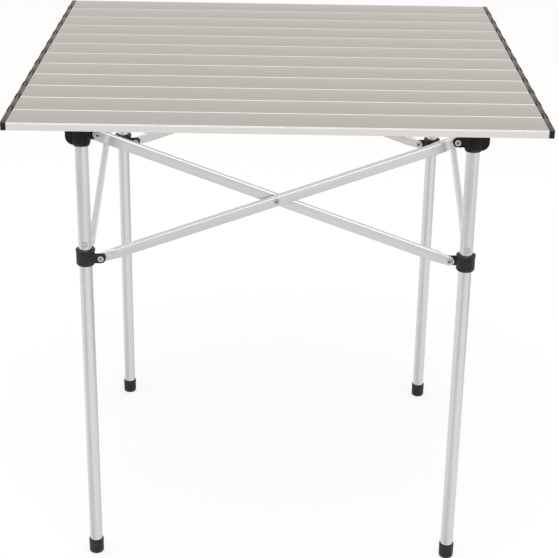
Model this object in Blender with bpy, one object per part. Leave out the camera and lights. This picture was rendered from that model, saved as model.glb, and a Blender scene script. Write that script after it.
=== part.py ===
"""Folding camp table: a roll-up slatted top on a four-legged scissor frame.

Metres, +Z up. The origin is on the floor under the middle of the table, the front is -Y.
The frame is the same in each quarter turn: leg k and side k are leg 0 and side 0 turned by
k quarter turns about Z. Seen from outside, each side's two bars cross: the outer bar runs from
the left leg's slider up to the right leg's hub, the inner bar from the left leg's hub down to
the right leg's slider.
"""

import math

import bmesh
import bpy
from mathutils import Matrix, Vector

# Driving dimensions
GAP = 0.0003

TOP_WIDTH = 0.700
TOP_DEPTH = 0.700
TOP_HEIGHT = 0.690
SLAT_COUNT = 12
SLAT_THICKNESS = 0.0105
SLAT_WALL = 0.0008
SLAT_END_WALL = 0.0065
SLAT_EDGE_RADIUS = 0.0018

CORD_RADIUS = 0.0014
CORD_HOLE_RADIUS = 0.0020
CORD_INSET = 0.016
CORD_BELOW_TOP = 0.0052
CORD_END_INSET = 0.009

LEG_SPACING = 0.520
LEG_RADIUS = 0.0091
LEG_WALL = 0.0012
STOP_HEIGHT = 0.4935

FOOT_RADIUS = 0.0107
FOOT_HEIGHT = 0.0227
FOOT_FLOOR = 0.003
FOOT_SOLE_RADIUS = 0.0070
FOOT_ROUND = 0.004
FOOT_RIM = 0.0007

PIVOT_OFFSET = 0.0215
HUB_PIVOT_HEIGHT = 0.6462
SLIDER_PIVOT_HEIGHT = 0.473

HUB_RADIUS = 0.0130
HUB_BOTTOM = 0.6333
HUB_TAPER = 0.008
HUB_LIP = 0.0020
HUB_LID = 0.003
WING_REACH = 0.0208
WING_THICKNESS = 0.009
WING_RADIUS = 0.0120
WING_BOTTOM = HUB_BOTTOM + 0.0008

SLIDER_RADIUS = 0.0131
SLIDER_HALF_HEIGHT = 0.0112
SLIDER_CHAMFER = 0.0012
SLIDER_RIM = 0.0025
SLIDER_WAIST = 0.0004
SLIDER_BORE_GAP = 0.0004

EAR_RADIUS = 0.0065
EAR_NEAR = 0.0043
EAR_FAR = 0.0080
ARM_START = 0.006

BAR_HEIGHT = 0.0155
BAR_NEAR = 0.00015
BAR_FAR = 0.00785
BAR_WALL = 0.0012
BAR_CORNER = 0.0034
BAR_END_WALL = 0.004
BAR_END_SETBACK = 0.0100
TONGUE_NEAR = 0.0015
TONGUE_FAR = 0.0040
TONGUE_RADIUS = 0.0066

RIVET_RADIUS = 0.0020
RIVET_HOLE_RADIUS = 0.0024
RIVET_HEAD_RADIUS = 0.0044
RIVET_HEAD_HEIGHT = 0.0018
RIVET_HEAD_FLAT = 0.0032
RIVET_HEAD_RIM = 0.0006

ROUND_SIDES = 16
RIVET_SIDES = 10
CORD_SIDES = 8
CUT_PAST = 0.010

# Derived dimensions
HALF_SPACING = LEG_SPACING / 2
SLAT_PITCH = TOP_DEPTH / SLAT_COUNT
SLAT_UNDERSIDE = TOP_HEIGHT - SLAT_THICKNESS
HUB_TOP = SLAT_UNDERSIDE - GAP
SPAN = LEG_SPACING - 2 * PIVOT_OFFSET
DROP = HUB_PIVOT_HEIGHT - SLIDER_PIVOT_HEIGHT
BAR_LENGTH = math.hypot(SPAN, DROP)
BAR_ANGLE = math.atan2(DROP, SPAN)
CROSSING_HEIGHT = (HUB_PIVOT_HEIGHT + SLIDER_PIVOT_HEIGHT) / 2

CORNERS = ("front_left", "front_right", "back_right", "back_left")
SIDES = ("front", "right", "back", "left")
QUARTER = math.pi / 2


def clear_scene():
    for obj in list(bpy.data.objects):
        bpy.data.objects.remove(obj, do_unlink=True)


def material(name, colour, metallic, roughness):
    made = bpy.data.materials.new(name)
    made.use_nodes = True
    shader = made.node_tree.nodes["Principled BSDF"]
    shader.inputs["Base Color"].default_value = (*colour, 1.0)
    shader.inputs["Metallic"].default_value = metallic
    shader.inputs["Roughness"].default_value = roughness
    made.diffuse_color = (*colour, 1.0)
    return made


def quarter_turn(k):
    return Matrix.Rotation(k * QUARTER, 4, "Z")


def link(name, mesh, mat=None, matrix=None):
    """A new object on this mesh, at this place."""
    obj = bpy.data.objects.new(name, mesh)
    bpy.context.scene.collection.objects.link(obj)
    if mat is not None and not mesh.materials:
        mesh.materials.append(mat)
    obj.matrix_world = matrix or Matrix.Identity(4)
    return obj


def mesh_from(name, bm, smooth_angle=35):
    bmesh.ops.recalc_face_normals(bm, faces=bm.faces)
    mesh = bpy.data.meshes.new(name)
    bm.to_mesh(mesh)
    bm.free()
    mesh.shade_smooth()
    mesh.set_sharp_from_angle(angle=math.radians(smooth_angle))
    return mesh


def prism(name, outline, low, high, plane="XZ"):
    """A closed outline in the named plane, extruded from low to high along the third axis."""
    place = {
        "XZ": lambda a, b, c: (a, c, b),
        "YZ": lambda a, b, c: (c, a, b),
        "XY": lambda a, b, c: (a, b, c),
    }[plane]
    bm = bmesh.new()
    base = bm.faces.new([bm.verts.new(place(a, b, low)) for a, b in outline])
    raised = bmesh.ops.extrude_face_region(bm, geom=[base])["geom"]
    shift = Vector(place(0.0, 0.0, high - low))
    bmesh.ops.translate(bm, verts=[v for v in raised if isinstance(v, bmesh.types.BMVert)], vec=shift)
    return mesh_from(name, bm)


def box(name, low, high):
    """An axis-aligned block between two corners."""
    outline = [(low[0], low[1]), (high[0], low[1]), (high[0], high[1]), (low[0], high[1])]
    return prism(name, outline, low[2], high[2], plane="XY")


def turned(name, profile, sides):
    """A profile of (radius, height) points turned about Z. Points at radius 0 close the ends."""
    bm = bmesh.new()
    rings = []
    for radius, height in profile:
        if radius == 0:
            rings.append([bm.verts.new((0, 0, height))] * sides)
            continue
        angles = [(i + 0.5) * math.tau / sides for i in range(sides)]
        rings.append([bm.verts.new((radius * math.cos(a), radius * math.sin(a), height)) for a in angles])
    closed = profile[0][0] != 0
    pairs = list(zip(rings, rings[1:]))
    if closed:
        pairs.append((rings[-1], rings[0]))
    for lower, upper in pairs:
        for i in range(sides):
            j = (i + 1) % sides
            corners = [lower[i], lower[j], upper[j], upper[i]]
            bm.faces.new(list(dict.fromkeys(corners)))
    return mesh_from(name, bm)


def cylinder(name, radius, low, high, sides):
    return turned(name, [(0, low), (radius, low), (radius, high), (0, high)], sides)


def arc(centre, radius, start, end, steps):
    """Points on an arc, angles in degrees, both ends included."""
    angles = [math.radians(start + (end - start) * i / steps) for i in range(steps + 1)]
    return [(centre[0] + radius * math.cos(a), centre[1] + radius * math.sin(a)) for a in angles]


def helper(name, mesh, matrix=None):
    """A hidden cutter or building block for a Boolean."""
    obj = link(name, mesh, matrix=matrix)
    obj.hide_render = True
    obj.display_type = "WIRE"
    return obj


def boolean(obj, other, operation):
    modifier = obj.modifiers.new(f"{operation.lower()} {other.name}", "BOOLEAN")
    modifier.operation = operation
    modifier.solver = "EXACT"
    modifier.object = other


def baked(obj, name):
    """The evaluated shape of an object as one mesh, so that copies can share it."""
    bpy.context.view_layer.update()
    graph = bpy.context.evaluated_depsgraph_get()
    mesh = bpy.data.meshes.new_from_object(obj.evaluated_get(graph))
    mesh.name = name
    mesh.shade_smooth()
    mesh.set_sharp_from_angle(angle=math.radians(35))
    return mesh


def built(name, start, unions=(), cuts=()):
    """One mesh from a starting mesh, with other meshes joined to it and then cut from it."""
    base = helper(f"{name}_block", start)
    helpers = [base]
    for number, mesh in enumerate(unions):
        block = helper(f"{name}_union_{number}", mesh)
        boolean(base, block, "UNION")
        helpers.append(block)
    for number, mesh in enumerate(cuts):
        block = helper(f"{name}_cut_{number}", mesh)
        boolean(base, block, "DIFFERENCE")
        helpers.append(block)
    mesh = baked(base, name)
    for block in helpers:
        bpy.data.objects.remove(block)
    return mesh


def moved(mesh, matrix):
    mesh.transform(matrix)
    return mesh


def body_empty(name, point):
    """The parent of one rigid body's pieces, on the axis of the joint that moves it."""
    empty = bpy.data.objects.new(name, None)
    empty.empty_display_size = 0.02
    bpy.context.scene.collection.objects.link(empty)
    empty.location = point
    return empty


def attach(piece, empty):
    bpy.context.view_layer.update()
    world = piece.matrix_world.copy()
    piece.parent = empty
    piece.matrix_parent_inverse = empty.matrix_world.inverted()
    piece.matrix_world = world


def slat_outline():
    """Slat cross-section about its own middle: square below, rounded at the two upper edges."""
    half = SLAT_PITCH / 2 - GAP / 2
    r = SLAT_EDGE_RADIUS
    top = TOP_HEIGHT
    right = arc((half - r, top - r), r, 0, 90, 2)
    left = arc((-half + r, top - r), r, 90, 180, 2)
    return [(-half, SLAT_UNDERSIDE), (half, SLAT_UNDERSIDE)] + right + left


def make_cords(elastic, body):
    """Two elastic cords through all the slats, and the cutters for their holes."""
    half = TOP_DEPTH / 2 - CORD_END_INSET
    holes = []
    for side, sign in (("left", -1), ("right", 1)):
        place = Matrix.Translation((sign * (TOP_WIDTH / 2 - CORD_INSET), 0, TOP_HEIGHT - CORD_BELOW_TOP))
        place = place @ Matrix.Rotation(QUARTER, 4, "X")
        cord = cylinder(f"cord_{side}", CORD_RADIUS, -half, half, CORD_SIDES)
        attach(link(f"elastic_cord_{side}", cord, elastic, place), body["slat_01"])
        hole = cylinder(f"cord_hole_{side}", CORD_HOLE_RADIUS, -half - GAP, half + GAP, CORD_SIDES)
        holes.append(helper(f"cord_hole_{side}", hole, place))
    return holes


def make_tabletop(aluminium, elastic, body):
    """Twelve hollow box-section slats, closed at the ends, strung on two elastic cords."""
    slat_mesh = prism("slat", slat_outline(), -TOP_WIDTH / 2, TOP_WIDTH / 2, plane="YZ")
    half_inside = SLAT_PITCH / 2 - GAP / 2 - SLAT_WALL
    half_length_inside = TOP_WIDTH / 2 - SLAT_END_WALL
    hollow_mesh = box(
        "slat_hollow",
        (-half_length_inside, -half_inside, SLAT_UNDERSIDE + SLAT_WALL),
        (half_length_inside, half_inside, TOP_HEIGHT - SLAT_WALL),
    )
    cord_holes = make_cords(elastic, body)
    for number in range(1, SLAT_COUNT + 1):
        middle = (number - 0.5) * SLAT_PITCH - TOP_DEPTH / 2
        place = Matrix.Translation((0, middle, 0))
        slat = link(f"slat_{number:02d}", slat_mesh, aluminium, place)
        boolean(slat, helper(f"slat_hollow_{number:02d}", hollow_mesh, place), "DIFFERENCE")
        for hole in cord_holes:
            boolean(slat, hole, "DIFFERENCE")
        attach(slat, body[f"slat_{number:02d}"])


def leg_mesh():
    """A round tube with the stop rivet's two heads, which face front and back."""
    bottom = FOOT_FLOOR + GAP
    top = HUB_TOP - HUB_LID - GAP
    inner = LEG_RADIUS - LEG_WALL
    tube = turned(
        "leg_tube",
        [(inner, bottom), (LEG_RADIUS, bottom), (LEG_RADIUS, top), (inner, top)],
        ROUND_SIDES,
    )
    seat = LEG_RADIUS - LEG_WALL / 2
    head = seat + LEG_WALL / 2 + RIVET_HEAD_HEIGHT
    stop = turned("stop_rivet", rivet_profile(-head, -seat, seat, head), RIVET_SIDES)
    stop = moved(stop, Matrix.Translation((0, 0, STOP_HEIGHT)) @ Matrix.Rotation(QUARTER, 4, "X"))
    return built("leg", tube, unions=[stop])


def rivet_profile(end_low, seat_low, seat_high, end_high):
    """Two domed heads on one shank, seated between seat_low and seat_high."""
    return [
        (0, end_low),
        (RIVET_HEAD_FLAT, end_low),
        (RIVET_HEAD_RADIUS, seat_low - RIVET_HEAD_RIM),
        (RIVET_HEAD_RADIUS, seat_low),
        (RIVET_RADIUS, seat_low),
        (RIVET_RADIUS, seat_high),
        (RIVET_HEAD_RADIUS, seat_high),
        (RIVET_HEAD_RADIUS, seat_high + RIVET_HEAD_RIM),
        (RIVET_HEAD_FLAT, end_high),
        (0, end_high),
    ]


def foot_mesh():
    """A cup for the end of the tube, with a rounded base and a flat sole."""
    bore = LEG_RADIUS + GAP
    return turned(
        "foot",
        [
            (0, 0),
            (FOOT_SOLE_RADIUS, 0),
            (FOOT_RADIUS - FOOT_ROUND * 0.3, FOOT_ROUND * 0.3),
            (FOOT_RADIUS, FOOT_ROUND),
            (FOOT_RADIUS, FOOT_HEIGHT - FOOT_RIM),
            (FOOT_RADIUS - FOOT_RIM, FOOT_HEIGHT),
            (bore, FOOT_HEIGHT),
            (bore, FOOT_FLOOR),
            (0, FOOT_FLOOR),
        ],
        ROUND_SIDES,
    )


def ear(name, height, near, far):
    """An arm along +X, between y = near and y = far, with a round end about the pivot."""
    end = arc((PIVOT_OFFSET, height), EAR_RADIUS, -90, 90, 6)
    outline = [(ARM_START, height - EAR_RADIUS)] + end + [(ARM_START, height + EAR_RADIUS)]
    return prism(name, outline, near, far)


def rivet_hole(name, height):
    """A cutter along Y through the pivot at this height."""
    cutter = cylinder(name, RIVET_HOLE_RADIUS, -2 * EAR_FAR, 2 * EAR_FAR, RIVET_SIDES)
    place = Matrix.Translation((PIVOT_OFFSET, 0, height)) @ Matrix.Rotation(QUARTER, 4, "X")
    return moved(cutter, place)


def ears_and_holes(height, first_side):
    """Two ears, one along +X and one along +Y, and the holes through them.

    first_side is +1 where the ear along +X lies inside the bar's plane, and -1 where it lies
    outside. The ear along +Y, turned by a quarter, is then on the other kind of bar.
    """
    near, far = sorted((first_side * EAR_NEAR, first_side * EAR_FAR))
    along_x = ear("ear_x", height, near, far)
    along_y = moved(ear("ear_y", height, near, far), quarter_turn(1))
    holes = [rivet_hole("hole_x", height), moved(rivet_hole("hole_y", height), quarter_turn(1))]
    return [along_x, along_y], holes


def wing(name):
    """A web on the outer side of the hub, along -X, with a round lower corner."""
    corner = arc((-WING_REACH + WING_RADIUS, WING_BOTTOM + WING_RADIUS), WING_RADIUS, 180, 270, 5)
    outline = [(0, WING_BOTTOM), (0, HUB_TOP), (-WING_REACH, HUB_TOP)] + corner
    return prism(name, outline, -WING_THICKNESS / 2, WING_THICKNESS / 2)


def hub_mesh():
    """Cap on the leg's upper end, with two ears for bars and two outer webs under the slats."""
    core = turned(
        "hub_core",
        [
            (0, HUB_BOTTOM),
            (LEG_RADIUS + HUB_LIP, HUB_BOTTOM),
            (HUB_RADIUS, HUB_BOTTOM + HUB_TAPER),
            (HUB_RADIUS, HUB_TOP),
            (0, HUB_TOP),
        ],
        ROUND_SIDES,
    )
    ears, holes = ears_and_holes(HUB_PIVOT_HEIGHT, 1)
    socket_bottom = HUB_BOTTOM - CUT_PAST
    socket = cylinder("hub_socket", LEG_RADIUS + GAP, socket_bottom, HUB_TOP - HUB_LID, ROUND_SIDES)
    webs = [wing("wing_x"), moved(wing("wing_y"), quarter_turn(1))]
    return built("top_hub", core, unions=ears + webs, cuts=[socket] + holes)


def slider_mesh():
    """Sleeve that slides on the leg, with two ears for the lower ends of two bars."""
    low = SLIDER_PIVOT_HEIGHT - SLIDER_HALF_HEIGHT
    high = SLIDER_PIVOT_HEIGHT + SLIDER_HALF_HEIGHT
    core = turned(
        "slider_core",
        [
            (0, low),
            (SLIDER_RADIUS - SLIDER_CHAMFER, low),
            (SLIDER_RADIUS, low + 2 * SLIDER_CHAMFER),
            (SLIDER_RADIUS - SLIDER_WAIST, high - SLIDER_RIM),
            (SLIDER_RADIUS, high - SLIDER_RIM),
            (SLIDER_RADIUS, high),
            (0, high),
        ],
        ROUND_SIDES,
    )
    ears, holes = ears_and_holes(SLIDER_PIVOT_HEIGHT, -1)
    bore_radius = LEG_RADIUS + SLIDER_BORE_GAP
    bore = cylinder("slider_bore", bore_radius, low - CUT_PAST, high + CUT_PAST, ROUND_SIDES)
    return built("slider", core, unions=ears, cuts=[bore] + holes)


def tongue(name, end, near, far):
    """The pressed-flat end of a bar about its pivot. end is -1 or +1."""
    pivot = end * BAR_LENGTH / 2
    root = end * (BAR_LENGTH / 2 - BAR_END_SETBACK - BAR_END_WALL / 2)
    r = TONGUE_RADIUS
    tip = arc((pivot, 0), r, -90 * end, 90 * end, 6)
    outline = [(root, -r * end)] + tip + [(root, r * end)]
    return prism(name, outline, near, far)


def flat_tube_section(near, far, inset):
    """A bar's cross-section with round corners, drawn in from its outside by the inset."""
    radius = BAR_CORNER - inset
    top = BAR_HEIGHT / 2 - BAR_CORNER
    right = far - BAR_CORNER
    left = near + BAR_CORNER
    corners = (((right, top), 0), ((left, top), 90), ((left, -top), 180), ((right, -top), 270))
    return [point for middle, start in corners for point in arc(middle, radius, start, start + 90, 3)]


def bar_mesh(name, side):
    """A flat tube along X about the crossing rivet, with flattened ends.

    side is -1 for the outer bar, which lies at negative y, and +1 for the inner bar.
    """
    half = BAR_LENGTH / 2 - BAR_END_SETBACK
    near, far = sorted((side * BAR_NEAR, side * BAR_FAR))
    block = prism("bar_block", flat_tube_section(near, far, 0), -half, half, plane="YZ")
    inside = half - BAR_END_WALL
    pocket = prism("bar_pocket", flat_tube_section(near, far, BAR_WALL), -inside, inside, plane="YZ")
    tongue_near, tongue_far = sorted((side * TONGUE_NEAR, side * TONGUE_FAR))
    tongues = [tongue(f"tongue_{n}", end, tongue_near, tongue_far) for n, end in ((0, -1), (1, 1))]
    holes = []
    for number, x in enumerate((-BAR_LENGTH / 2, 0.0, BAR_LENGTH / 2)):
        hole = cylinder(f"bar_hole_{number}", RIVET_HOLE_RADIUS, -2 * BAR_FAR, 2 * BAR_FAR, RIVET_SIDES)
        holes.append(moved(hole, Matrix.Translation((x, 0, 0)) @ Matrix.Rotation(QUARTER, 4, "X")))
    return built(name, block, unions=tongues, cuts=[pocket] + holes)


def along_y(mesh_profile, name):
    """A turned rivet with its axis along Y, the profile's heights running to +Y."""
    mesh = turned(name, mesh_profile, RIVET_SIDES)
    return moved(mesh, Matrix.Rotation(-QUARTER, 4, "X"))


def pivot_rivet_mesh(name, side):
    """Rivet through one ear and one flattened bar end, on the ear's side of the bars' plane."""
    seats = sorted((side * (TONGUE_NEAR - GAP), side * (EAR_FAR + GAP)))
    return along_y(
        rivet_profile(seats[0] - RIVET_HEAD_HEIGHT, seats[0], seats[1], seats[1] + RIVET_HEAD_HEIGHT),
        name,
    )


def crossing_rivet_mesh():
    """Rivet through both bars of a side."""
    seat = BAR_FAR + GAP
    end = seat + RIVET_HEAD_HEIGHT
    return along_y(rivet_profile(-end, -seat, seat, end), "crossing_rivet")


def make_legs(aluminium, black, steel, body):
    tube = leg_mesh()
    foot = foot_mesh()
    hub = hub_mesh()
    rivet = pivot_rivet_mesh("hub_rivet", 1)
    for k, corner in enumerate(CORNERS):
        upright = Matrix.Translation(corner_point(k, "axis", 0))
        place = upright @ quarter_turn(k)
        pivot = Matrix.Translation((PIVOT_OFFSET, 0, HUB_PIVOT_HEIGHT))
        other_pivot = quarter_turn(1) @ pivot
        pieces = [
            link(f"leg_{corner}", tube, aluminium, upright),
            link(f"foot_{corner}", foot, black, place),
            link(f"top_hub_{corner}", hub, black, place),
            link(f"hub_rivet_{corner}_inner_bar", rivet, steel, place @ pivot),
            link(f"hub_rivet_{corner}_outer_bar", rivet, steel, place @ other_pivot),
        ]
        for piece in pieces:
            attach(piece, body[f"leg_{corner}"])


def make_sliders(black, steel, body):
    slider = slider_mesh()
    rivet = pivot_rivet_mesh("slider_rivet", -1)
    for k, corner in enumerate(CORNERS):
        place = Matrix.Translation(corner_point(k, "axis", 0)) @ quarter_turn(k)
        pivot = Matrix.Translation((PIVOT_OFFSET, 0, SLIDER_PIVOT_HEIGHT))
        other_pivot = quarter_turn(1) @ pivot
        pieces = [
            link(f"slider_{corner}", slider, black, place),
            link(f"slider_rivet_{corner}_outer_bar", rivet, steel, place @ pivot),
            link(f"slider_rivet_{corner}_inner_bar", rivet, steel, place @ other_pivot),
        ]
        for piece in pieces:
            attach(piece, body[f"slider_{corner}"])


def make_bars(aluminium, steel, body):
    """Each side's outer bar rises to the right, seen from outside, and its inner bar falls."""
    outer = bar_mesh("outer_bar", -1)
    inner = bar_mesh("inner_bar", 1)
    rivet = crossing_rivet_mesh()
    for k, side in enumerate(SIDES):
        crossing = quarter_turn(k) @ Matrix.Translation((0, -HALF_SPACING, CROSSING_HEIGHT))
        rising = crossing @ Matrix.Rotation(-BAR_ANGLE, 4, "Y")
        falling = crossing @ Matrix.Rotation(BAR_ANGLE, 4, "Y")
        attach(link(f"outer_bar_{side}", outer, aluminium, rising), body[f"outer_bar_{side}"])
        attach(link(f"inner_bar_{side}", inner, aluminium, falling), body[f"inner_bar_{side}"])
        attach(link(f"crossing_rivet_{side}", rivet, steel, crossing), body[f"inner_bar_{side}"])


def corner_point(k, along, height):
    """A point on leg k's pivot line: along is +X for its first side and +Y for its second."""
    local = {"axis": (0, 0), "first": (PIVOT_OFFSET, 0), "second": (0, PIVOT_OFFSET)}[along]
    return quarter_turn(k) @ Vector((local[0] - HALF_SPACING, local[1] - HALF_SPACING, height))


def make_bodies():
    """One empty for each rigid body, on the joint that carries it.

    The front left leg is the base. The tree runs from it along the front, then the left side,
    then the right side, and last the back.
    """
    bodies = {}

    def crossing(k):
        return quarter_turn(k) @ Vector((0, -HALF_SPACING, CROSSING_HEIGHT))

    front, right, back, left = range(4)
    places = {
        "leg_front_left": corner_point(0, "axis", 0),
        "inner_bar_front": corner_point(0, "first", HUB_PIVOT_HEIGHT),
        "outer_bar_front": crossing(front),
        "leg_front_right": corner_point(1, "second", HUB_PIVOT_HEIGHT),
        "slider_front_left": corner_point(0, "first", SLIDER_PIVOT_HEIGHT),
        "slider_front_right": corner_point(1, "second", SLIDER_PIVOT_HEIGHT),
        "outer_bar_left": corner_point(0, "second", HUB_PIVOT_HEIGHT),
        "inner_bar_left": crossing(left),
        "leg_back_left": corner_point(3, "first", HUB_PIVOT_HEIGHT),
        "slider_back_left": corner_point(3, "first", SLIDER_PIVOT_HEIGHT),
        "inner_bar_right": corner_point(1, "first", HUB_PIVOT_HEIGHT),
        "outer_bar_right": crossing(right),
        "leg_back_right": corner_point(2, "second", HUB_PIVOT_HEIGHT),
        "slider_back_right": corner_point(2, "second", SLIDER_PIVOT_HEIGHT),
        "outer_bar_back": corner_point(3, "second", HUB_PIVOT_HEIGHT),
        "inner_bar_back": crossing(back),
    }
    for name, point in places.items():
        bodies[name] = body_empty(f"body_{name}", point)
    for number in range(1, SLAT_COUNT + 1):
        edge = (number - 1) * SLAT_PITCH - TOP_DEPTH / 2
        name = f"slat_{number:02d}"
        bodies[name] = body_empty(f"body_{name}", (0, edge, TOP_HEIGHT))
    return bodies


def main():
    clear_scene()
    slat_grey = material("anodised_slat", (0.55, 0.53, 0.50), 0.85, 0.42)
    tube_grey = material("satin_tube", (0.62, 0.62, 0.63), 0.9, 0.35)
    black = material("black_plastic", (0.012, 0.012, 0.013), 0.0, 0.45)
    steel = material("rivet_metal", (0.72, 0.72, 0.73), 1.0, 0.25)
    elastic = material("black_elastic", (0.02, 0.02, 0.02), 0.0, 0.8)
    body = make_bodies()
    make_tabletop(slat_grey, elastic, body)
    make_legs(tube_grey, black, steel, body)
    make_sliders(black, steel, body)
    make_bars(tube_grey, steel, body)


main()
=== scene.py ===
"""The looks of the folding camp table: smooth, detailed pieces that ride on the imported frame's bodies.

Metres, +Z up, the front is -Y. Each corner of the frame is the front left one turned about Z by
quarter turns, and so is each side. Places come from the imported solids' own boxes.
"""

import math

import bmesh
import bpy
from mathutils import Matrix, Vector


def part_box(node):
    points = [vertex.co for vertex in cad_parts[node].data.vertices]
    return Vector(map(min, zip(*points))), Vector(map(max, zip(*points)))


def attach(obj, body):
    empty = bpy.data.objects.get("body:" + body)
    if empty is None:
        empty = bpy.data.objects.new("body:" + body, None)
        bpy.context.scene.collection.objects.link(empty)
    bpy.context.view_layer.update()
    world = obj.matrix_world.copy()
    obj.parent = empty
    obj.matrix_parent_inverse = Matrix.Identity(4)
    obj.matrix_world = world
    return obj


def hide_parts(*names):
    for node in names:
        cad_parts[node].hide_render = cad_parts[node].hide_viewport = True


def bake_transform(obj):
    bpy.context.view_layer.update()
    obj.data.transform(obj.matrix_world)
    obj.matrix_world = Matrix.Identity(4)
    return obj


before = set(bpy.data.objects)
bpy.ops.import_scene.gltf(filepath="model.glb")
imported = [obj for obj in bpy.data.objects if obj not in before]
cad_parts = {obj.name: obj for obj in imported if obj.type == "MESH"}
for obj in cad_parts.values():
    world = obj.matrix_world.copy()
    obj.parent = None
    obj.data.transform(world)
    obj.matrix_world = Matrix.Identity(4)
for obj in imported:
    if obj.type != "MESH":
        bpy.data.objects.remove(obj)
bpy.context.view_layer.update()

CORNERS = ("front_left", "front_right", "back_right", "back_left")
SIDES = ("front", "right", "back", "left")
SIDE_SIGNS = (("left", -1), ("right", 1))
QUARTER = math.pi / 2
MM = 0.001


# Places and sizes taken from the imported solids


def centre(node):
    low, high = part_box(node)
    return (low + high) / 2


def size(node):
    low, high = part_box(node)
    return high - low


SLATS = sorted(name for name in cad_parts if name.startswith("slat_"))
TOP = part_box(SLATS[0])[1].z
SLAT_THICKNESS = size(SLATS[0]).z
SLAT_WIDTH = size(SLATS[0]).y
SLAT_PITCH = centre(SLATS[1]).y - centre(SLATS[0]).y
TOP_HALF_WIDTH = size(SLATS[0]).x / 2

LEG_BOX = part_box("leg_front_left")
AXIS = centre("foot_front_left")
ROUND_FACET = math.cos(math.pi / 16)  # a round part in CAD has 16 sides, and its box is their flats
LEG_RADIUS = size("leg_front_left").x / 2 / ROUND_FACET

HUB_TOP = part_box("top_hub_front_left")[1].z
HUB_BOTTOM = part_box("top_hub_front_left")[0].z
HUB_REACH = AXIS.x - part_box("top_hub_front_left")[0].x
HUB_PIVOT = centre("hub_rivet_front_left_inner_bar")
SLIDER_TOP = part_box("slider_front_left")[1].z
SLIDER_PIVOT = centre("slider_rivet_front_left_outer_bar")
PIVOT_OFFSET = HUB_PIVOT.x - AXIS.x
CROSSING = centre("crossing_rivet_front")
BAR_SPAN = 2 * (CROSSING.x - HUB_PIVOT.x)
BAR_END = math.hypot(BAR_SPAN, HUB_PIVOT.z - SLIDER_PIVOT.z) / 2
BAR_ANGLE = math.atan2(HUB_PIVOT.z - SLIDER_PIVOT.z, BAR_SPAN)
BAR_LINE = AXIS.y  # the front pair's bars lie on both sides of the plane through the legs' axes
CROSSING_HEIGHT = (HUB_PIVOT.z + SLIDER_PIVOT.z) / 2

CORD_RADIUS = size("elastic_cord_left").x / 2
CORD_X = centre("elastic_cord_right").x
CORD_HEIGHT = centre("elastic_cord_right").z


# Sizes of the looks' own detail

LEG_WALL = 1.2 * MM
STOP_HEIGHT = 0.4935  # of the rivet through a leg above its slider

CAP_WIDTH = 7.4 * MM
CAP_BULGE = 0.5 * MM  # how far a cap swells where it holds a slot or carries a tongue
CAP_RAIL = 0.8 * MM  # the wall on each side of a slot
CAP_GROOVE = 1.5 * MM  # the gap between a tongue and each rail
CAP_CORNER = 2.2 * MM
CAP_BEVEL = 0.25 * MM
SLOT_DEPTH = 13.0 * MM
NECK = 6.5 * MM  # how much of a tongue lies within its own cap
BULGE_RUN = 4.0 * MM  # the length over which the swelling fades
TONGUE_REACH = SLOT_DEPTH - 2.4 * MM
SLAT_TOP_RADIUS = 2.2 * MM
SLAT_BOTTOM_RADIUS = 0.7 * MM
ALUMINIUM_HALF = TOP_HALF_WIDTH - CAP_WIDTH - CAP_BULGE

# Near and far are distances from the line midway between a pair's two bars
EAR_NEAR = 4.3 * MM
EAR_FAR = 8.0 * MM
EAR_RADIUS = 6.6 * MM
BAR_NEAR = 0.15 * MM
BAR_FAR = 7.85 * MM
BAR_HALF_HEIGHT = 7.75 * MM
BAR_CORNER = 3.4 * MM
FACING_CORNER = 1.6 * MM  # a corner on the side that faces the other bar
TONGUE_NEAR = 1.5 * MM
TONGUE_FAR = 4.0 * MM
TIP_RADIUS = 6.6 * MM
PRESSED_LENGTH = 12.5 * MM
PRESS_RUN = 11.0 * MM  # the length over which a bar goes from full to pressed

HEAD_RADIUS = size("crossing_rivet_front").z / 2
HEAD_HEIGHT = 1.8 * MM
RIVET_BORE = 1.9 * MM
RIVET_SEAT = 0.05 * MM  # the gap under a head
STOP_INSET = 0.15 * MM  # how far a stop rivet's head sinks into its round tube

WELD_DISTANCE = 0.02 * MM
SHARP_ANGLE = 35  # an edge between faces that turn by more degrees than this stays sharp


# Finishes: a pair of tones is the darker and the lighter colour that a material varies between

SLAT_TONES = ((0.655, 0.63, 0.612), (0.69, 0.665, 0.647))
# the tubes' tones lie far apart, so that their banding is painted reflection streaks down each tube
TUBE_PAINTED_STREAK_TONES = ((0.46, 0.455, 0.46), (0.66, 0.65, 0.655))
BAR_TONES = ((0.54, 0.53, 0.53), (0.60, 0.59, 0.59))
# the painted highlight along a bar's upper edge
BAR_PAINTED_HIGHLIGHT = (0.94, 0.94, 0.95)
RIVET_TONES = ((0.43, 0.43, 0.44), (0.56, 0.56, 0.57))
# the rivets' bores: dark plastic in place of their metal, painted shade inside the hollows
BORE_SHADE_TONES = ((0.15, 0.15, 0.155), (0.25, 0.25, 0.255))
CAP_TONES = ((0.008, 0.006, 0.006), (0.016, 0.013, 0.012))
HUB_TONES = ((0.006, 0.005, 0.0055), (0.012, 0.010, 0.011))
SLEEVE_TONES = ((0.019, 0.0185, 0.018), (0.031, 0.030, 0.030))
FOOT_TONES = ((0.024, 0.0225, 0.022), (0.036, 0.034, 0.0335))
ELASTIC_TONES = ((0.012, 0.012, 0.013), (0.035, 0.035, 0.036))
# the caps' upper faces, lighter and browner than their sides
CAP_TOP_TONE = (0.095, 0.078, 0.070)
# the sleeves' upper faces: partly dust, partly a painted highlight along the top lip
SLEEVE_DUST_AND_PAINTED_HIGHLIGHT = (0.05, 0.05, 0.052)

# Heights on a bar between which a painted highlight comes up along its upper edge, and its top turns from
# bare metal to a matte face in that highlight's colour
PAINTED_HIGHLIGHT_EDGE = (5.2 * MM, 6.4 * MM)
MATTE_HIGHLIGHT_TOP = (6.9 * MM, 7.5 * MM)

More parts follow.
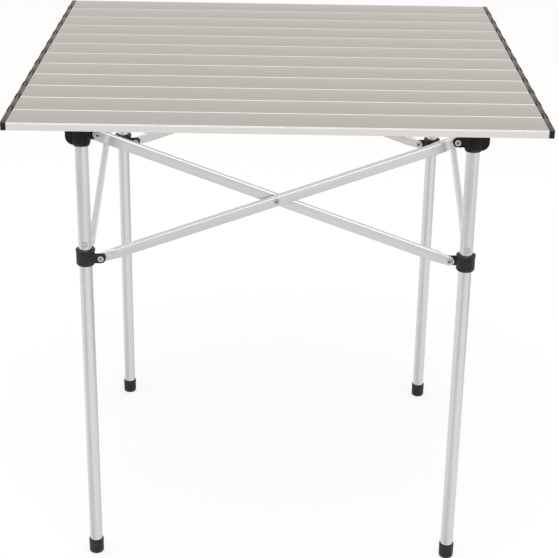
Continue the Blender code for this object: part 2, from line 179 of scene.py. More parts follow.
# Places along a bar towards its hub, and the greys of the painted shade there: the tabletop's shadow over
# the pressed end, lighter for a short stretch at its bend
HUB_END_PAINTED_SHADE = (
    (BAR_END - 40.0 * MM, 1.0),
    (BAR_END - 27.0 * MM, 0.84),
    (BAR_END - 19.0 * MM, 0.66),
    (BAR_END - 15.0 * MM, 1.0),
    (BAR_END - 12.0 * MM, 0.98),
    (BAR_END - 8.0 * MM, 0.74),
    (BAR_END, 0.76),
)

# A colour Mix node's sockets, whose names its number sockets have too
MIX_FACTOR, MIX_A, MIX_B, MIX_RESULT = 0, 6, 7, 2


# Camera, light and floor

CAMERA_PLACE = (0.0011, -2.1567, 1.2491)
CAMERA_YAW, CAMERA_PITCH, CAMERA_ROLL = 0.119, 23.004, 0.909
CAMERA_LENS, CAMERA_SENSOR = 96.59, 36.0

# The surround's colour from the horizon, at 0, to straight up, at 1
SURROUND = (
    (0.06, (1.0, 1.0, 1.0)),
    (0.17, (0.73, 0.685, 0.64)),
    (1.0, (0.62, 0.61, 0.60)),
)

# Name, place, the point it faces, width, height, watts and colour
SOFTBOXES = (
    ("overhead", (0.0, -0.6, 3.0), (0, 0, 0.4), 2.6, 2.0, 19, (1.0, 1.0, 1.0)),
    ("front", (0.0, -4.6, 1.9), (0, 0, 0.5), 5.0, 1.4, 42, (0.90, 0.94, 1.0)),
    ("left_window", (-3.0, -1.6, 1.6), (0, 0, 0.5), 1.6, 1.8, 8, (1.0, 1.0, 1.0)),
)

FLOOR_HALF = 40.0
FLOOR_GREY = 0.30
FLOOR_GLOW = 0.76


def make_camera():
    """A standing person's view: above the top, in front of its middle, looking down."""
    yaw, pitch, roll = (math.radians(angle) for angle in (CAMERA_YAW, CAMERA_PITCH, CAMERA_ROLL))
    level = math.cos(pitch)
    forward = Vector((math.sin(yaw) * level, math.cos(yaw) * level, -math.sin(pitch)))
    right = Vector((math.cos(yaw), -math.sin(yaw), 0))
    up = right.cross(forward)
    x_axis = right * math.cos(roll) + up * math.sin(roll)
    y_axis = up * math.cos(roll) - right * math.sin(roll)
    data = bpy.data.cameras.new("camera")
    data.lens = CAMERA_LENS
    data.sensor_width = CAMERA_SENSOR
    data.clip_end = 100.0
    camera = bpy.data.objects.new("camera", data)
    camera.matrix_world = Matrix((x_axis, y_axis, -forward)).transposed().to_4x4()
    camera.location = CAMERA_PLACE
    bpy.context.scene.collection.objects.link(camera)
    bpy.context.scene.camera = camera


def softbox(name, position, target, width, height, power, colour):
    data = bpy.data.lights.new(name, "AREA")
    data.shape = "RECTANGLE"
    data.size = width
    data.size_y = height
    data.energy = power
    data.color = colour
    light = bpy.data.objects.new(name, data)
    light.location = position
    light.rotation_euler = (Vector(target) - Vector(position)).to_track_quat("-Z", "Y").to_euler()
    bpy.context.scene.collection.objects.link(light)


def make_surround():
    """A white horizon under a warm grey ceiling."""
    world = bpy.data.worlds.new("studio")
    world.use_nodes = True
    bpy.context.scene.world = world
    nodes, links = world.node_tree.nodes, world.node_tree.links
    background = nodes["Background"]
    place = nodes.new("ShaderNodeTexCoord")
    parts = nodes.new("ShaderNodeSeparateXYZ")
    ramp = nodes.new("ShaderNodeValToRGB")
    links.new(place.outputs["Generated"], parts.inputs[0])
    links.new(parts.outputs["Z"], ramp.inputs["Fac"])
    set_stops(ramp, SURROUND)
    links.new(ramp.outputs["Color"], background.inputs["Color"])
    background.inputs["Strength"].default_value = 1.0


def make_floor():
    """A white floor that runs out to the horizon."""
    half = FLOOR_HALF
    corners = [(-half, -half, 0), (half, -half, 0), (half, half, 0), (-half, half, 0)]
    mesh = bpy.data.meshes.new("floor")
    mesh.from_pydata(corners, [], [(0, 1, 2, 3)])
    floor = bpy.data.objects.new("floor", mesh)
    bpy.context.scene.collection.objects.link(floor)
    paper = bpy.data.materials.new("white_floor")
    paper.use_nodes = True
    shader = paper.node_tree.nodes["Principled BSDF"]
    shader.inputs["Base Color"].default_value = (FLOOR_GREY, FLOOR_GREY, FLOOR_GREY, 1)
    shader.inputs["Roughness"].default_value = 0.9
    shader.inputs["Specular IOR Level"].default_value = 0.1
    shader.inputs["Emission Color"].default_value = (1, 1, 1, 1)
    shader.inputs["Emission Strength"].default_value = FLOOR_GLOW
    mesh.materials.append(paper)


def make_studio():
    bpy.context.scene.view_settings.view_transform = "Standard"
    make_surround()
    for box in SOFTBOXES:
        softbox(*box)
    make_floor()


# Materials


def set_stops(ramp, stops):
    """Give a new colour ramp these (position, colour) stops, from its lowest to its highest."""
    elements = ramp.color_ramp.elements
    while len(elements) < len(stops):
        elements.new(0.5)
    for element, (position, colour) in zip(elements, stops):
        element.position = position
        element.color = (*colour, 1)


def socket_name(keyword):
    """The shader's name for a socket, from a keyword such as base_color."""
    return keyword.replace("_", " ").title().replace("Ior", "IOR")


class Shader:
    """A material's node tree, with short calls for the nodes that the finishes use."""

    def __init__(self, name):
        self.material = bpy.data.materials.new(name)
        self.material.use_nodes = True
        self.nodes = self.material.node_tree.nodes
        self.links = self.material.node_tree.links
        self.surface = self.nodes["Principled BSDF"]
        self.place = self.nodes.new("ShaderNodeTexCoord").outputs["Object"]

    def constants(self, **values):
        for name, value in values.items():
            self.surface.inputs[socket_name(name)].default_value = value

    def noise(self, stretch, detail=4.0, roughness=0.55, seed=0.0):
        """Noise over the piece's own coordinates, with this many features to the metre on each axis."""
        mapping = self.nodes.new("ShaderNodeMapping")
        mapping.inputs["Scale"].default_value = stretch
        mapping.inputs["Location"].default_value = (seed, seed, seed)
        self.links.new(self.place, mapping.inputs["Vector"])
        noise = self.nodes.new("ShaderNodeTexNoise")
        noise.inputs["Scale"].default_value = 1.0
        noise.inputs["Detail"].default_value = detail
        noise.inputs["Roughness"].default_value = roughness
        self.links.new(mapping.outputs[0], noise.inputs["Vector"])
        return noise.outputs["Fac"]

    def axis(self, name):
        """One of the piece's own coordinates."""
        parts = self.nodes.new("ShaderNodeSeparateXYZ")
        self.links.new(self.place, parts.inputs[0])
        return parts.outputs[name]

    def shaded(self, colour, value, greys, sign):
        """The colour times a grey that runs through the (place, grey) pairs.

        The value that is read is sign times the place.
        """
        first, last = greys[0][0], greys[-1][0]
        ramp = self.nodes.new("ShaderNodeValToRGB")
        self.links.new(self.spread(value, 0, 1, sign * first, sign * last), ramp.inputs["Fac"])
        set_stops(ramp, [((at - first) / (last - first), (grey, grey, grey)) for at, grey in greys])
        return self.blend(1.0, colour, ramp.outputs["Color"], mode="MULTIPLY")

    def spread(self, value, low, high, from_low=0.3, from_high=0.7):
        """The value mapped from one range to another, and kept within it."""
        node = self.nodes.new("ShaderNodeMapRange")
        node.inputs["From Min"].default_value = from_low
        node.inputs["From Max"].default_value = from_high
        node.inputs["To Min"].default_value = low
        node.inputs["To Max"].default_value = high
        self.links.new(value, node.inputs["Value"])
        return node.outputs[0]

    def blend(self, factor, first, second, mode="MIX"):
        """From the first colour to the second by a factor. Each is a constant or another node's socket."""
        node = self.nodes.new("ShaderNodeMix")
        node.data_type = "RGBA"
        node.blend_type = mode
        for index, value in ((MIX_FACTOR, factor), (MIX_A, first), (MIX_B, second)):
            if isinstance(value, float):
                node.inputs[index].default_value = value
            elif isinstance(value, tuple):
                node.inputs[index].default_value = (*value, 1)
            else:
                self.links.new(value, node.inputs[index])
        return node.outputs[MIX_RESULT]

    def bump(self, value, depth, strength=1.0, under=None):
        node = self.nodes.new("ShaderNodeBump")
        node.inputs["Strength"].default_value = strength
        node.inputs["Distance"].default_value = depth
        self.links.new(value, node.inputs["Height"])
        if under is not None:
            self.links.new(under, node.inputs["Normal"])
        return node.outputs["Normal"]

    def connect(self, **values):
        for name, value in values.items():
            self.links.new(value, self.surface.inputs[socket_name(name)])
        return self.material


def drawn_metal(name, tones, rough, along, relief, hub_end=0):
    """Extruded or drawn aluminium: fine lines along one axis, faint wider banding that on the tubes is
    painted reflection streaks, small handling marks.

    A bar, whose hub_end is +1 or -1 along X, also has a painted highlight along its upper edge, a top that
    turns from metal to matte in that highlight's colour, and painted shade at that end, where the
    tabletop's shadow falls on the pressed part.
    """
    stretch = {
        "x": lambda fine, wide: (fine, wide, wide),
        "z": lambda fine, wide: (wide, wide, fine),
    }[along]
    dark, light = tones
    shader = Shader(name)
    lines = shader.noise(stretch(5.0, 1500.0), detail=2.0)
    # wider banding; on the tubes it is painted reflection streaks
    bands_and_painted_streaks = shader.noise(stretch(1.5, 130.0), detail=3.0, seed=3.0)
    marks = shader.noise((38.0, 38.0, 38.0), detail=5.0, seed=7.0)
    colour = shader.blend(shader.spread(bands_and_painted_streaks, 0, 1, 0.4, 0.6), dark, light)
    colour = shader.blend(shader.spread(marks, 0, 0.25), colour, light)
    if hub_end:
        height = shader.axis("Z")
        # painted shade towards the hub end, from the tabletop's shadow
        colour = shader.shaded(colour, shader.axis("X"), HUB_END_PAINTED_SHADE, hub_end)
        # painted highlight along the upper edge
        colour = shader.blend(shader.spread(height, 0, 1, *PAINTED_HIGHLIGHT_EDGE), colour, BAR_PAINTED_HIGHLIGHT)
        # a matte top, so that it shows the painted highlight's colour
        shader.connect(metallic=shader.spread(height, 1.0, 0.0, *MATTE_HIGHLIGHT_TOP))
    shader.constants(metallic=1.0)
    normal = shader.bump(lines, 0.02 * MM, relief)
    return shader.connect(base_color=colour, roughness=shader.spread(lines, *rough), normal=normal)


def moulded_plastic(name, tones, rough, gloss, upper_face_colour=None, top=0.0):
    """Black moulded plastic with a fine spark-eroded grain and a little dust.

    upper_face_colour is the colour of an upper face at height top in the mesh: dust together with a
    painted highlight on the sleeves, and a lighter, browner top on the caps.
    """
    shader = Shader(name)
    grain = shader.noise((2600.0, 2600.0, 2600.0), detail=2.0)
    wear = shader.noise((90.0, 90.0, 90.0), detail=4.0, seed=5.0)
    colour = shader.blend(shader.spread(wear, 0, 1, 0.45, 0.75), *tones)
    if upper_face_colour:
        # an upper face in its own colour: on the sleeves, dust and a painted highlight
        height = shader.spread(shader.axis("Z"), 0, 1, top - 0.7 * MM, top - 0.1 * MM)
        colour = shader.blend(height, colour, upper_face_colour)
    shader.constants(specular_ior_level=gloss)
    normal = shader.bump(grain, 0.03 * MM, 0.3)
    return shader.connect(base_color=colour, roughness=shader.spread(wear, *rough), normal=normal)


def rivet_metal():
    shader = Shader("rivet_metal")
    marks = shader.noise((700.0, 700.0, 700.0), detail=3.0)
    colour = shader.blend(shader.spread(marks, 0, 1), *RIVET_TONES)
    shader.constants(metallic=1.0)
    normal = shader.bump(marks, 0.03 * MM, 0.3)
    return shader.connect(base_color=colour, roughness=shader.spread(marks, 0.16, 0.30), normal=normal)


def braided_elastic():
    """Two crossing wave patterns give the cord's woven cover."""
    shader = Shader("braided_elastic")
    weaves = []
    for turn in (0.6, -0.6):
        mapping = shader.nodes.new("ShaderNodeMapping")
        mapping.inputs["Rotation"].default_value = (turn, 0, turn)
        shader.links.new(shader.place, mapping.inputs["Vector"])
        wave = shader.nodes.new("ShaderNodeTexWave")
        wave.inputs["Scale"].default_value = 260.0
        shader.links.new(mapping.outputs[0], wave.inputs["Vector"])
        weaves.append(wave.outputs["Fac"])
    relief = 0.15 * MM
    both = shader.bump(weaves[1], relief, under=shader.bump(weaves[0], relief))
    colour = shader.blend(weaves[0], *ELASTIC_TONES)
    shader.constants(roughness=0.8)
    return shader.connect(base_color=colour, normal=both)


# Mesh tools


def finished(name, bm, sharp=SHARP_ANGLE):
    """The mesh, smooth but for its sharper edges, with its faces pointing out."""
    bmesh.ops.remove_doubles(bm, verts=bm.verts, dist=1e-7)
    bmesh.ops.recalc_face_normals(bm, faces=bm.faces)
    mesh = bpy.data.meshes.new(name)
    bm.to_mesh(mesh)
    bm.free()
    mesh.shade_smooth()
    mesh.set_sharp_from_angle(angle=math.radians(sharp))
    return mesh


def arc(middle, radius, start, end, steps):
    """Points on an arc from one angle to another, in degrees."""
    angles = [math.radians(start + (end - start) * i / steps) for i in range(steps + 1)]
    return [(middle[0] + radius * math.cos(a), middle[1] + radius * math.sin(a)) for a in angles]


def turned(name, profile, sides, sharp=SHARP_ANGLE):
    """A profile of (radius, height) turned about Z. It closes on the axis, or else on itself."""
    bm = bmesh.new()
    rings = []
    for radius, height in profile:
        if radius == 0:
            rings.append([bm.verts.new((0, 0, height))] * sides)
            continue
        angles = [i * math.tau / sides for i in range(sides)]
        rings.append([bm.verts.new((radius * math.cos(a), radius * math.sin(a), height)) for a in angles])
    pairs = list(zip(rings, rings[1:]))
    if profile[0][0] != 0:
        pairs.append((rings[-1], rings[0]))
    for lower, upper in pairs:
        for i in range(sides):
            j = (i + 1) % sides
            bm.faces.new(list(dict.fromkeys([lower[i], lower[j], upper[j], upper[i]])))
    return finished(name, bm, sharp)


def lofted(name, rings, sharp=SHARP_ANGLE):
    """Rings of points joined in order, with a face closing each end."""
    bm = bmesh.new()
    made = [[bm.verts.new(point) for point in ring] for ring in rings]
    for lower, upper in zip(made, made[1:]):
        for i in range(len(lower)):
            j = (i + 1) % len(lower)
            bm.faces.new([lower[i], lower[j], upper[j], upper[i]])
    bm.faces.new(made[0])
    bm.faces.new(made[-1])
    return finished(name, bm, sharp)


def prism(name, outline, low, high, plane="XZ", bevel=0.0):
    """An outline in the named plane, extruded from low to high along the third axis.

    Its rims are bevelled if bevel is more than 0.
    """
    place = {
        "XZ": lambda a, b, c: Vector((a, c, b)),
        "YZ": lambda a, b, c: Vector((c, a, b)),
        "XY": lambda a, b, c: Vector((a, b, c)),
    }[plane]
    bm = bmesh.new()
    base = bm.faces.new([bm.verts.new(place(a, b, low)) for a, b in outline])
    raised = bmesh.ops.extrude_face_region(bm, geom=[base])["geom"]
    top = [f for f in raised if isinstance(f, bmesh.types.BMFace)]
    shift = place(0.0, 0.0, high - low)
    bmesh.ops.translate(bm, verts=[v for v in raised if isinstance(v, bmesh.types.BMVert)], vec=shift)
    if bevel:
        rims = {edge for face in [base, *top] if face.is_valid for edge in face.edges}
        options = {"profile": 0.5, "affect": "EDGES", "clamp_overlap": True}
        bmesh.ops.bevel(bm, geom=list(rims), offset=bevel, segments=2, **options)
    return finished(name, bm)


def joined(name, first, unions, cuts, bevel):
    """One mesh from a start mesh, with others joined to it and cut from it, and its edges rounded."""
    meshes = (first, *unions, *cuts)
    objects = [bpy.data.objects.new(f"{name}_{i}", mesh) for i, mesh in enumerate(meshes)]
    for obj in objects:
        bpy.context.scene.collection.objects.link(obj)
    base = objects[0]
    for i, other in enumerate(objects[1:]):
        modifier = base.modifiers.new(other.name, "BOOLEAN")
        modifier.operation = "UNION" if i < len(unions) else "DIFFERENCE"
        modifier.solver = "EXACT"
        modifier.object = other
    weld = base.modifiers.new("weld", "WELD")
    weld.merge_threshold = WELD_DISTANCE
    rounding = base.modifiers.new("bevel", "BEVEL")
    rounding.width = bevel
    rounding.segments = 3
    rounding.limit_method = "ANGLE"
    rounding.angle_limit = math.radians(40)
    rounding.miter_outer = "MITER_ARC"
    bpy.context.view_layer.update()
    graph = bpy.context.evaluated_depsgraph_get()
    mesh = bpy.data.meshes.new_from_object(base.evaluated_get(graph))
    mesh.name = name
    for obj in objects:
        bpy.data.objects.remove(obj)
    mesh.shade_smooth()
    mesh.set_sharp_from_angle(angle=math.radians(SHARP_ANGLE))
    return mesh


def moved(mesh, matrix):
    mesh.transform(matrix)
    return mesh


def quarter_turn(k):
    return Matrix.Rotation(k * QUARTER, 4, "Z")


def piece(name, mesh, matrix, body, materials, stands_for=()):
    """An object on this mesh at this place, riding on a body, with its finish and what it replaces."""
    obj = bpy.data.objects.new(name, mesh)
    bpy.context.scene.collection.objects.link(obj)
    if not mesh.materials:
        for material in materials:
            mesh.materials.append(material)
    obj.matrix_world = matrix
    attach(obj, body)
    if stands_for:
        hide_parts(*stands_for)
    return obj


# The roll-up top


def slat_mesh():
    """An aluminium extrusion about the middle of its upper face, rounded along all four edges."""
    half = SLAT_WIDTH / 2
    top, bottom = SLAT_TOP_RADIUS, SLAT_BOTTOM_RADIUS
    section = (
        arc((half - bottom, -SLAT_THICKNESS + bottom), bottom, -90, 0, 4)
        + arc((half - top, -top), top, 0, 90, 8)
        + arc((-half + top, -top), top, 90, 180, 8)
        + arc((-half + bottom, -SLAT_THICKNESS + bottom), bottom, 180, 270, 4)
    )
    return prism("slat", section, -ALUMINIUM_HALF, ALUMINIUM_HALF, plane="YZ")


def cap_outline(has_slot, has_tongue):
    """Plan of an end cap: x runs out from the aluminium, y back from the slat's middle."""
    half = SLAT_WIDTH / 2
    outer = CAP_WIDTH + CAP_BULGE
    slot = (CAP_RAIL, outer - CAP_RAIL)
    mid = (slot[0] + slot[1]) / 2
    slot_radius = (slot[1] - slot[0]) / 2
    tongue_radius = slot_radius - CAP_GROOVE
    points = [(0, -half)]
    if has_slot:
        points += [(slot[0], -half)]
        points += arc((mid, -half + SLOT_DEPTH - slot_radius), slot_radius, 180, 0, 12)
        points += [(slot[1], -half), (outer, -half), (outer, -half + SLOT_DEPTH)]
        points += [(CAP_WIDTH, -half + SLOT_DEPTH + BULGE_RUN)]
    else:
        points += arc((CAP_WIDTH - CAP_CORNER, -half + CAP_CORNER), CAP_CORNER, -90, 0, 6)
    if has_tongue:
        groove_end = half - NECK
        points += [(CAP_WIDTH, groove_end - BULGE_RUN), (outer, groove_end), (outer, half)]
        points += [(slot[1], half), (slot[1], groove_end), (mid + tongue_radius, groove_end)]
        points += arc((mid, half + TONGUE_REACH - tongue_radius), tongue_radius, 0, 180, 12)
        points += [(mid - tongue_radius, groove_end), (slot[0], groove_end), (slot[0], half)]
        points += [(0, half)]
    else:
        points += arc((CAP_WIDTH - CAP_CORNER, half - CAP_CORNER), CAP_CORNER, 0, 90, 6)
        points += [(0, half)]
    return points


def cap_mesh(sign, has_slot, has_tongue):
    """An end cap, for the right end if sign is 1 and mirrored for the left end if it is -1."""
    outline = cap_outline(has_slot, has_tongue)
    mesh = prism("end_cap", outline, -SLAT_THICKNESS, 0, plane="XY", bevel=CAP_BEVEL)
    if sign < 0:
        mesh.transform(Matrix.Scale(-1, 4, (1, 0, 0)))
        mesh.flip_normals()
    return mesh


def cord_mesh():
    """A length of cord along Y from one slat's middle to the next."""
    steps = 48
    sides = 14
    angles = [k * math.tau / sides for k in range(sides)]
    rings = []
    for i in range(steps + 1):
        y = (i / steps - 0.5) * SLAT_PITCH
        rings.append([(CORD_RADIUS * math.cos(a), y, CORD_RADIUS * math.sin(a)) for a in angles])
    return lofted("cord", rings)


def make_slats(aluminium, cap_plastic):
    slat = slat_mesh()
    last = len(SLATS) - 1
    caps = {}
    for sign in (-1, 1):
        for shape in ((False, True), (True, True), (True, False)):
            caps[sign, *shape] = cap_mesh(sign, *shape)
    for i, node in enumerate(SLATS):
        place = Matrix.Translation((0, centre(node).y, TOP))
        number = node.split("_")[1]
        piece(f"extrusion_{number}", slat, place, node, [aluminium], [node])
        for side, sign in SIDE_SIGNS:
            cap = caps[sign, i > 0, i < last]
            at = place @ Matrix.Translation((sign * ALUMINIUM_HALF, 0, 0))
            piece(f"end_cap_{number}_{side}", cap, at, node, [cap_plastic])


def make_cords(elastic):
    """A length of each cord across every joint, placed where it lies at rest."""
    for i, (node, following) in enumerate(zip(SLATS, SLATS[1:])):
        joint = centre(node).y + SLAT_PITCH / 2
        for side, sign in SIDE_SIGNS:
            mesh = cord_mesh()
            mesh.materials.append(elastic)
            obj = bpy.data.objects.new(f"cord_{side}_{i + 1:02d}", mesh)
            bpy.context.scene.collection.objects.link(obj)
            obj.location = (sign * CORD_X, joint, CORD_HEIGHT)
            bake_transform(obj)
            if i == 0:
                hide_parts(f"elastic_cord_{side}")


# Rivets


def head(seat, direction):
    """Half a rivet's profile, from the dish in its middle, over its rolled rim, to its seat."""
    floor = seat + direction * 0.6 * MM
    slope = 0.5 * MM
    crown = (RIVET_BORE + HEAD_RADIUS) / 2
    rim = 0.5 * MM
    points = [(0, floor), (RIVET_BORE - slope, floor)]
    for outward, height in arc((0, 0), 1, 180, 0, 12):
        across = crown + outward * (HEAD_RADIUS - RIVET_BORE) / 2
        points.append((across, seat + direction * (rim + (HEAD_HEIGHT - rim) * height)))
    points.append((HEAD_RADIUS, seat))
    return points


def rivet_mesh(name, low_seat, high_seat):
    """A rivet along Y with a head at each end, the bores' inner faces in the second material, which gives
    most rivets a bore of painted shade.
    """
    shank = 2.0 * MM
    profile = head(low_seat, -1) + [(shank, low_seat), (shank, high_seat)] + head(high_seat, 1)[::-1]
    mesh = turned(name, profile, sides=40, sharp=50)
    for face in mesh.polygons:
        middle = face.center
        if math.hypot(middle.x, middle.y) < RIVET_BORE:
            face.material_index = 1
    return moved(mesh, Matrix.Rotation(-QUARTER, 4, "X"))


# The frame


def tube_mesh():
    low = LEG_BOX[0].z
    high = LEG_BOX[1].z
    inner = LEG_RADIUS - LEG_WALL
    return turned("tube", [(inner, low), (LEG_RADIUS, low), (LEG_RADIUS, high), (inner, high)], sides=72)


def foot_mesh():
    """A moulded cup: rounded sole, a groove round its middle, a slightly wider mouth with a round lip."""
    low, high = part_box("foot_front_left")
    radius = (high.x - low.x) / 2 / ROUND_FACET
    height = high.z
    sole_radius = radius - 0.2 * MM
    wall = radius - 0.1 * MM
    groove = radius - 0.5 * MM
    heel = 3.4 * MM
    lip = 0.9 * MM
    sole = 3.2 * MM
    mouth = 3.2 * MM
    bore = LEG_RADIUS + 0.15 * MM
    profile = [(0, 0), *arc((sole_radius - heel, heel), heel, -90, 0, 8)]
    profile += [
        (wall, height * 0.42),
        (groove, height * 0.44),
        (groove, height * 0.48),
        (wall, height * 0.50),
        (radius, height - mouth),
    ]
    profile += arc((radius - lip, height - lip), lip, 0, 90, 5)
    profile += [(bore, height), (bore, sole), (0, sole)]
    return turned("foot", profile, sides=72, sharp=40)


def ear_mesh(height, side):
    """An arm along +X with a round end about the pivot, on one side of the bars' line."""
    near, far = sorted((side * EAR_NEAR, side * EAR_FAR))
    start = 6.0 * MM
    end = arc((PIVOT_OFFSET, height), EAR_RADIUS, -90, 90, 16)
    outline = [(start, height - EAR_RADIUS)] + end + [(start, height + EAR_RADIUS)]
    return prism("ear", outline, near, far)


def ears(height, side):
    return [ear_mesh(height, side), moved(ear_mesh(height, side), quarter_turn(1))]


def wing_mesh():
    """A web on the hub's outer side, along -X, straight at the top and round below."""
    thickness = 9.0 * MM
    radius = 12.0 * MM
    bottom = HUB_BOTTOM + 0.6 * MM
    corner = arc((-HUB_REACH + radius, bottom + radius), radius, 180, 270, 14)
    outline = [(0, bottom), (0, HUB_TOP), (-HUB_REACH, HUB_TOP)] + corner
    return prism("wing", outline, -thickness / 2, thickness / 2)


def hub_mesh():
    """The top fitting: a flared round core, two webs on its outer sides, two ears for the bars."""
    radius = 13.0 * MM
    lip = LEG_RADIUS + 1.9 * MM
    flare = [(lip, HUB_BOTTOM), (radius - 0.6 * MM, HUB_BOTTOM + 4 * MM), (radius, HUB_BOTTOM + 9 * MM)]
    core = turned("hub_core", [(0, HUB_BOTTOM), *flare, (radius, HUB_TOP), (0, HUB_TOP)], sides=48)
    bore = LEG_RADIUS + 0.15 * MM
    below = HUB_BOTTOM - 5 * MM
    ceiling = LEG_BOX[1].z + 0.1 * MM
    socket = turned("socket", [(0, below), (bore, below), (bore, ceiling), (0, ceiling)], sides=48)
    wings = [wing_mesh(), moved(wing_mesh(), quarter_turn(1))]
    return joined("hub", core, [*wings, *ears(HUB_PIVOT.z, 1)], [socket], 0.7 * MM)


def slider_mesh():
    """The sleeve: a raised collar at the top, a waist, a chamfered foot and two ears."""
    low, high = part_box("slider_front_left")
    radius = (AXIS.x - low.x) / ROUND_FACET
    collar = radius + 0.3 * MM
    outline = [
        (0, low.z),
        (radius - 1.6 * MM, low.z),
        (radius - 0.1 * MM, low.z + 2.6 * MM),
        (radius - 0.3 * MM, high.z - 3.6 * MM),
        (collar, high.z - 2.8 * MM),
        (collar, high.z),
        (0, high.z),
    ]
    core = turned("slider_core", outline, sides=48)
    bore = LEG_RADIUS + 0.35 * MM
    bottom, top = low.z - 4 * MM, high.z + 4 * MM
    through = turned("bore", [(0, bottom), (bore, bottom), (bore, top), (0, top)], sides=48)
    return joined("slider", core, ears(SLIDER_PIVOT.z, -1), [through], 0.6 * MM)


def smooth_step(value):
    value = min(max(value, 0.0), 1.0)
    return value * value * (3 - 2 * value)


def flat_tube_section(x, low, high, half_height, facing_high):
    """The outline of a flat tube at this x, from y = low to y = high, its corners smaller on one side.

    The smaller corners face the other bar, which is on the high side if facing_high is true.
    """
    most = min((high - low) * 0.48, half_height * 0.9)
    facing, outer = min(FACING_CORNER, most), min(BAR_CORNER, most)
    at_high, at_low = (facing, outer) if facing_high else (outer, facing)
    points = []
    for radius, start in ((at_high, 0), (at_low, 90), (at_low, 180), (at_high, 270)):
        y = high - radius if start in (0, 270) else low + radius
        z = half_height - radius if start < 180 else radius - half_height
        points += arc((y, z), radius, start, start + 90, 7)
    return [(x, y, z) for y, z in points]


def bar_places():
    """Places along a bar for its rings: few on the plain middle, many where it is pressed and rounded."""
    steps = 12
    press_start = BAR_END - PRESSED_LENGTH - PRESS_RUN
    half = [0.0, press_start * 0.5, press_start - 10 * MM, press_start - 2 * MM]
    half += [press_start + PRESS_RUN * i / steps for i in range(steps + 1)]
    half += [BAR_END - 6 * MM, BAR_END]
    half += [BAR_END + TIP_RADIUS * math.sin(i / steps * QUARTER) for i in range(1, steps + 1)]
    return [-x for x in reversed(half[1:])] + half


def bar_mesh(name, side):
    """A flat tube along X about the crossing, pressed flat at both ends and rounded about the pivots.

    side is -1 for the outer bar and +1 for the inner one.
    """
    near, far = sorted((side * BAR_NEAR, side * BAR_FAR))
    flat_near, flat_far = sorted((side * TONGUE_NEAR, side * TONGUE_FAR))
    press_start = BAR_END - PRESSED_LENGTH - PRESS_RUN
    delay = PRESS_RUN * 0.4
    least = 0.4 * MM
    rings = []
    for x in bar_places():
        away = abs(x)
        press = smooth_step((away - press_start) / PRESS_RUN)
        narrow = smooth_step((away - press_start - delay) / (BAR_END - press_start - delay))
        height = BAR_HALF_HEIGHT + (TIP_RADIUS - BAR_HALF_HEIGHT) * narrow
        if away > BAR_END:
            height = max(math.sqrt(max(TIP_RADIUS**2 - (away - BAR_END) ** 2, 0)), least)
        low = near + (flat_near - near) * press
        high = far + (flat_far - far) * press
        rings.append(flat_tube_section(x, low, high, height, side < 0))
    return lofted(name, rings, sharp=40)


def make_corners(tube_metal, hub_plastic, sleeve_plastic, foot_plastic, rivet_finish, bore_painted_shade):
    """The four legs, with all that sits on them and on their sliders."""
    tube, foot, hub, slider = tube_mesh(), foot_mesh(), hub_mesh(), slider_mesh()
    finishes = [rivet_finish, bore_painted_shade]
    hub_rivet = rivet_mesh("hub_rivet", TONGUE_NEAR - RIVET_SEAT, EAR_FAR + RIVET_SEAT)
    slider_rivet = rivet_mesh("slider_rivet", -EAR_FAR - RIVET_SEAT, -TONGUE_NEAR + RIVET_SEAT)
    stop = rivet_mesh("stop_rivet", -LEG_RADIUS + STOP_INSET, LEG_RADIUS - STOP_INSET)
    first = Matrix.Translation((PIVOT_OFFSET, 0, 0))
    second = quarter_turn(1) @ first
    for k, corner in enumerate(CORNERS):
        upright = Matrix.Translation(quarter_turn(k) @ Vector((AXIS.x, AXIS.y, 0)))
        place = upright @ quarter_turn(k)
        leg, sleeve = f"leg_{corner}", f"slider_{corner}"
        piece(f"tube_{corner}", tube, upright, leg, [tube_metal], [leg])
        at = upright @ Matrix.Translation((0, 0, STOP_HEIGHT))
        piece(f"stop_rivet_{corner}", stop, at, leg, [rivet_finish, rivet_finish])
        for name, mesh, body, plastic, node in (
            ("foot_cup", foot, leg, foot_plastic, f"foot_{corner}"),
            ("hub", hub, leg, hub_plastic, f"top_hub_{corner}"),
            ("sleeve", slider, sleeve, sleeve_plastic, sleeve),
        ):
            piece(f"{name}_{corner}", mesh, place, body, [plastic], [node])
        for kind, mesh, body, height, bars in (
            ("hub", hub_rivet, leg, HUB_PIVOT.z, ("inner_bar", "outer_bar")),
            ("slider", slider_rivet, sleeve, SLIDER_PIVOT.z, ("outer_bar", "inner_bar")),
        ):
            level = place @ Matrix.Translation((0, 0, height))
            for bar, at in zip(bars, (first, second)):
                name, node = f"rivet_{kind}_{corner}_{bar}", f"{kind}_rivet_{corner}_{bar}"
                piece(name, mesh, level @ at, body, finishes, [node])


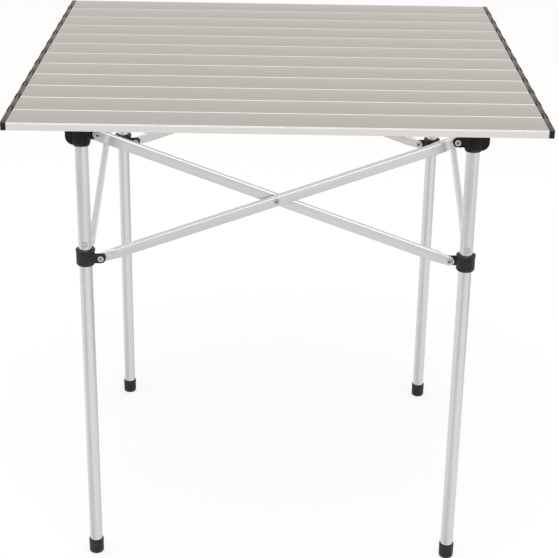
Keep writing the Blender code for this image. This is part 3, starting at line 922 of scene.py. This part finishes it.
def make_bars(bar_metals, rivet_finish, bore_painted_shade):
    """The four pairs of scissor bars, with the rivets at their crossings."""
    crossing_rivet = rivet_mesh("crossing_rivet", -BAR_FAR, BAR_FAR)
    outer, inner = bar_mesh("outer_bar", -1), bar_mesh("inner_bar", 1)
    for k, side in enumerate(SIDES):
        crossing = quarter_turn(k) @ Matrix.Translation((0, BAR_LINE, CROSSING_HEIGHT))
        rising = crossing @ Matrix.Rotation(-BAR_ANGLE, 4, "Y")
        falling = crossing @ Matrix.Rotation(BAR_ANGLE, 4, "Y")
        bars = ((f"outer_bar_{side}", outer, rising), (f"inner_bar_{side}", inner, falling))
        for (name, mesh, at), metal in zip(bars, bar_metals):
            piece(f"pressed_{name}", mesh, at, name, [metal], [name])
        node, body = f"crossing_rivet_{side}", f"inner_bar_{side}"
        finishes = [rivet_finish, bore_painted_shade]
        piece(f"rivet_{node}", crossing_rivet, crossing, body, finishes, [node])


def main():
    make_camera()
    make_studio()
    slat_metal = drawn_metal("slat_aluminium", SLAT_TONES, rough=(0.26, 0.34), along="x", relief=0.15)
    tube_metal = drawn_metal("tube_aluminium", TUBE_PAINTED_STREAK_TONES, rough=(0.18, 0.30), along="z", relief=0.35)
    bar_metals = []
    for name, hub_end in (("outer", 1), ("inner", -1)):
        finish = {"rough": (0.22, 0.32), "along": "x", "relief": 0.2, "hub_end": hub_end}
        bar_metals.append(drawn_metal(f"bar_aluminium_{name}", BAR_TONES, **finish))
    cap_plastic = moulded_plastic("cap_plastic", CAP_TONES, rough=(0.3, 0.42), gloss=0.2, upper_face_colour=CAP_TOP_TONE)
    hub_plastic = moulded_plastic("hub_plastic", HUB_TONES, rough=(0.34, 0.48), gloss=0.14)
    sleeve_plastic = moulded_plastic(
        "sleeve_plastic", SLEEVE_TONES, rough=(0.34, 0.48), gloss=0.14, upper_face_colour=SLEEVE_DUST_AND_PAINTED_HIGHLIGHT, top=SLIDER_TOP
    )
    foot_plastic = moulded_plastic("foot_plastic", FOOT_TONES, rough=(0.36, 0.5), gloss=0.14)
    # painted shade for the rivets' bores
    bore_painted_shade = moulded_plastic("rivet_bore_painted_shade", BORE_SHADE_TONES, rough=(0.35, 0.5), gloss=0.4)
    rivet_finish = rivet_metal()
    make_slats(slat_metal, cap_plastic)
    make_cords(braided_elastic())
    make_corners(tube_metal, hub_plastic, sleeve_plastic, foot_plastic, rivet_finish, bore_painted_shade)
    make_bars(bar_metals, rivet_finish, bore_painted_shade)


main()
